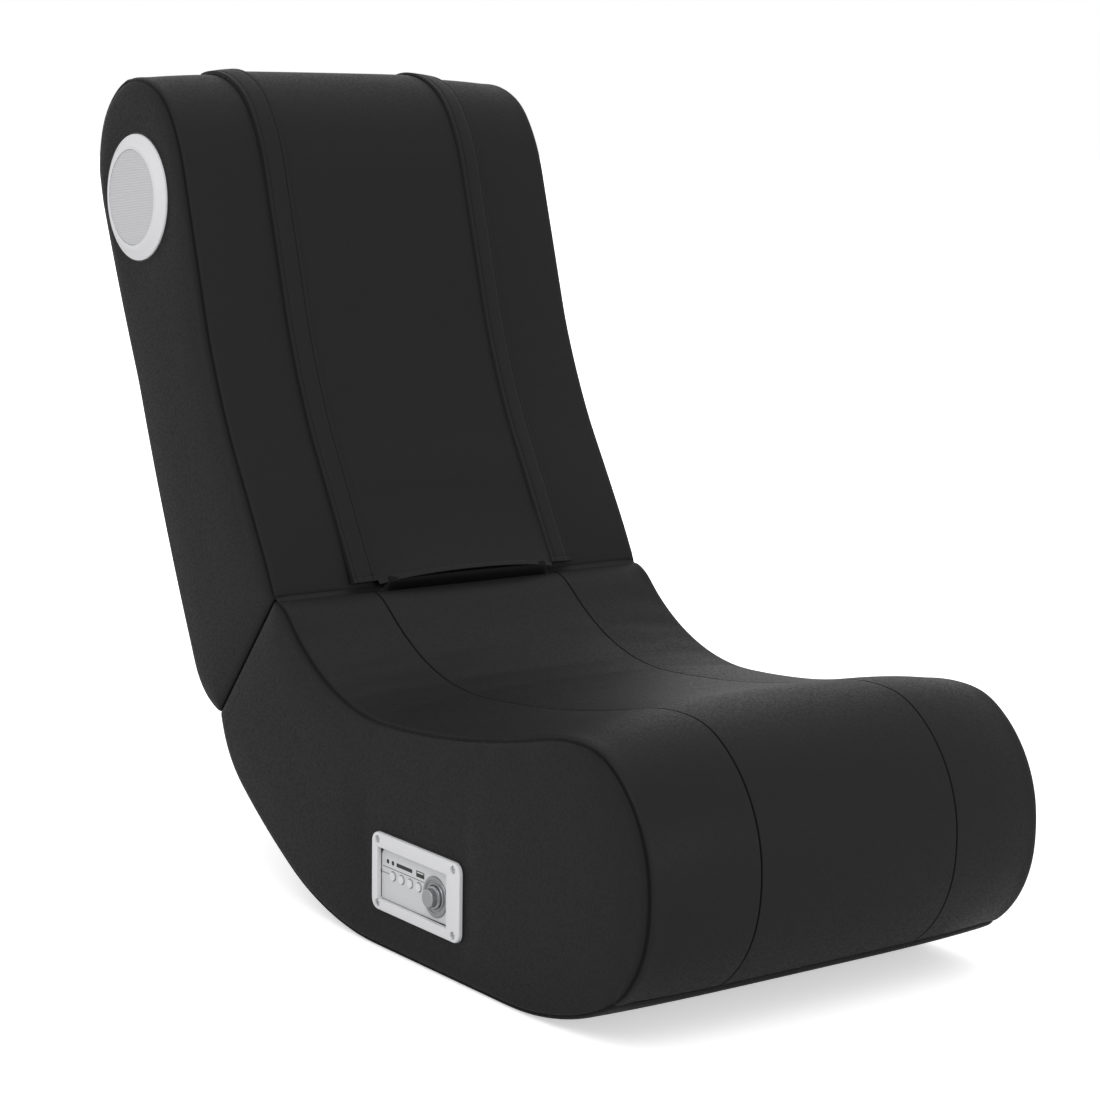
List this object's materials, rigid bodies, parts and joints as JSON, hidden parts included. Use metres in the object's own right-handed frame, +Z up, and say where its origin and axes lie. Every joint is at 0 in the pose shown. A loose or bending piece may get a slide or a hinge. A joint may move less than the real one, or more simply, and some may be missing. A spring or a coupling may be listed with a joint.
{
  "type": "gaming rocker chair",
  "caption": "Legless folding floor rocker: padded black seat shell with a curved base, a hinged padded back with side speakers, and a side control panel.",
  "frame": {"origin": "on the floor under the middle of the chair's bounding box, with the chair standing on the flat of its base", "axes": "+Z up, -Y the way the sitter faces, +X to the right of someone who looks at the chair from the front along +Y"},
  "size_m": [0.431, 0.8999, 0.7509],
  "materials": {
    "plywood": "sanded birch plywood",
    "hardboard": "upholsterer's fibre board",
    "foam": "open-cell polyurethane foam",
    "vinyl": "matte black grained upholstery vinyl",
    "padded_vinyl": "matte black grained vinyl over bonded foam",
    "zip_tape": "woven polyester tape with nylon teeth",
    "hinge_steel": "zinc-plated steel",
    "silver_plastic": "satin silver-white moulded ABS",
    "grille_mesh": "silver-painted fine steel mesh",
    "driver_steel": "black-painted steel",
    "cone_paper": "pressed paper cone",
    "socket_metal": "tin-plated steel",
    "black_plastic": "moulded black ABS",
    "circuit_board": "green solder resist",
    "knob_metal": "chrome-plated ABS"
  },
  "bodies": {
    "seat": {"amplifier_board": "circuit_board", "amplifier_case": "black_plastic", "audio_jacks": "black_plastic", "card_socket": "socket_metal", "control_faceplate": "silver_plastic", "control_tray": "silver_plastic", "data_socket": "socket_metal", "faceplate_screws": "hinge_steel", "hinge_pins": "hinge_steel", "hinge_seat_leaves": "hinge_steel", "hinge_seat_screws": "hinge_steel", "power_transformer": "driver_steel", "push_switches": "black_plastic", "seat_base_board": "plywood", "seat_bottom_cover": "vinyl", "seat_cover_centre": "vinyl", "seat_cover_left": "vinyl", "seat_cover_right": "vinyl", "seat_deck": "plywood", "seat_foam": "foam", "seat_front_rail": "plywood", "seat_middle_rail": "plywood", "seat_rear_rail": "plywood", "seat_roll_foam": "foam", "seat_side_cover_left": "padded_vinyl", "seat_side_cover_right": "padded_vinyl", "seat_side_panel_left": "plywood", "seat_side_panel_right": "plywood", "volume_control": "socket_metal", "volume_dial": "knob_metal"},
    "back": {"back_bottom_rail": "plywood", "back_deck": "hardboard", "back_flap_left": "vinyl", "back_flap_right": "vinyl", "back_foam": "foam", "back_front_cover": "vinyl", "back_middle_rail": "plywood", "back_rear_cover": "vinyl", "back_rear_panel": "hardboard", "back_removable_panel": "vinyl", "back_side_cover_left": "padded_vinyl", "back_side_cover_right": "padded_vinyl", "back_side_panel_left": "plywood", "back_side_panel_right": "plywood", "back_top_rail": "plywood", "back_zips": "zip_tape", "hinge_back_leaves": "hinge_steel", "hinge_back_screws": "hinge_steel", "speaker_bezel_left": "silver_plastic", "speaker_bezel_right": "silver_plastic", "speaker_cones": "cone_paper", "speaker_driver_left": "driver_steel", "speaker_driver_right": "driver_steel", "speaker_grille_left": "grille_mesh", "speaker_grille_right": "grille_mesh"},
    "button_1": {"button_1": "silver_plastic"},
    "button_2": {"button_2": "silver_plastic"},
    "button_3": {"button_3": "silver_plastic"},
    "button_4": {"button_4": "silver_plastic"},
    "volume_knob": {"volume_knob": "knob_metal"}
  },
  "joints": [
    {"name": "back_fold", "type": "hinge", "parent": "seat", "child": "back", "pos_m": [0, 0.109, 0.284], "axis": [1, 0, 0], "range_deg": [0, 115]},
    {"name": "volume_turn", "type": "hinge", "parent": "seat", "child": "volume_knob", "pos_m": [-0.21, -0.1528, 0.0678], "axis": [-1, 0, 0], "range_deg": [-150, 150]},
    {"name": "button_1_press", "type": "slide", "parent": "seat", "child": "button_1", "axis": [1, 0, 0], "range_m": [0, 0.0008], "stiffness_N_per_m": 700},
    {"name": "button_2_press", "type": "slide", "parent": "seat", "child": "button_2", "axis": [1, 0, 0], "range_m": [0, 0.0008], "stiffness_N_per_m": 700},
    {"name": "button_3_press", "type": "slide", "parent": "seat", "child": "button_3", "axis": [1, 0, 0], "range_m": [0, 0.0008], "stiffness_N_per_m": 700},
    {"name": "button_4_press", "type": "slide", "parent": "seat", "child": "button_4", "axis": [1, 0, 0], "range_m": [0, 0.0008], "stiffness_N_per_m": 700}
  ]
}
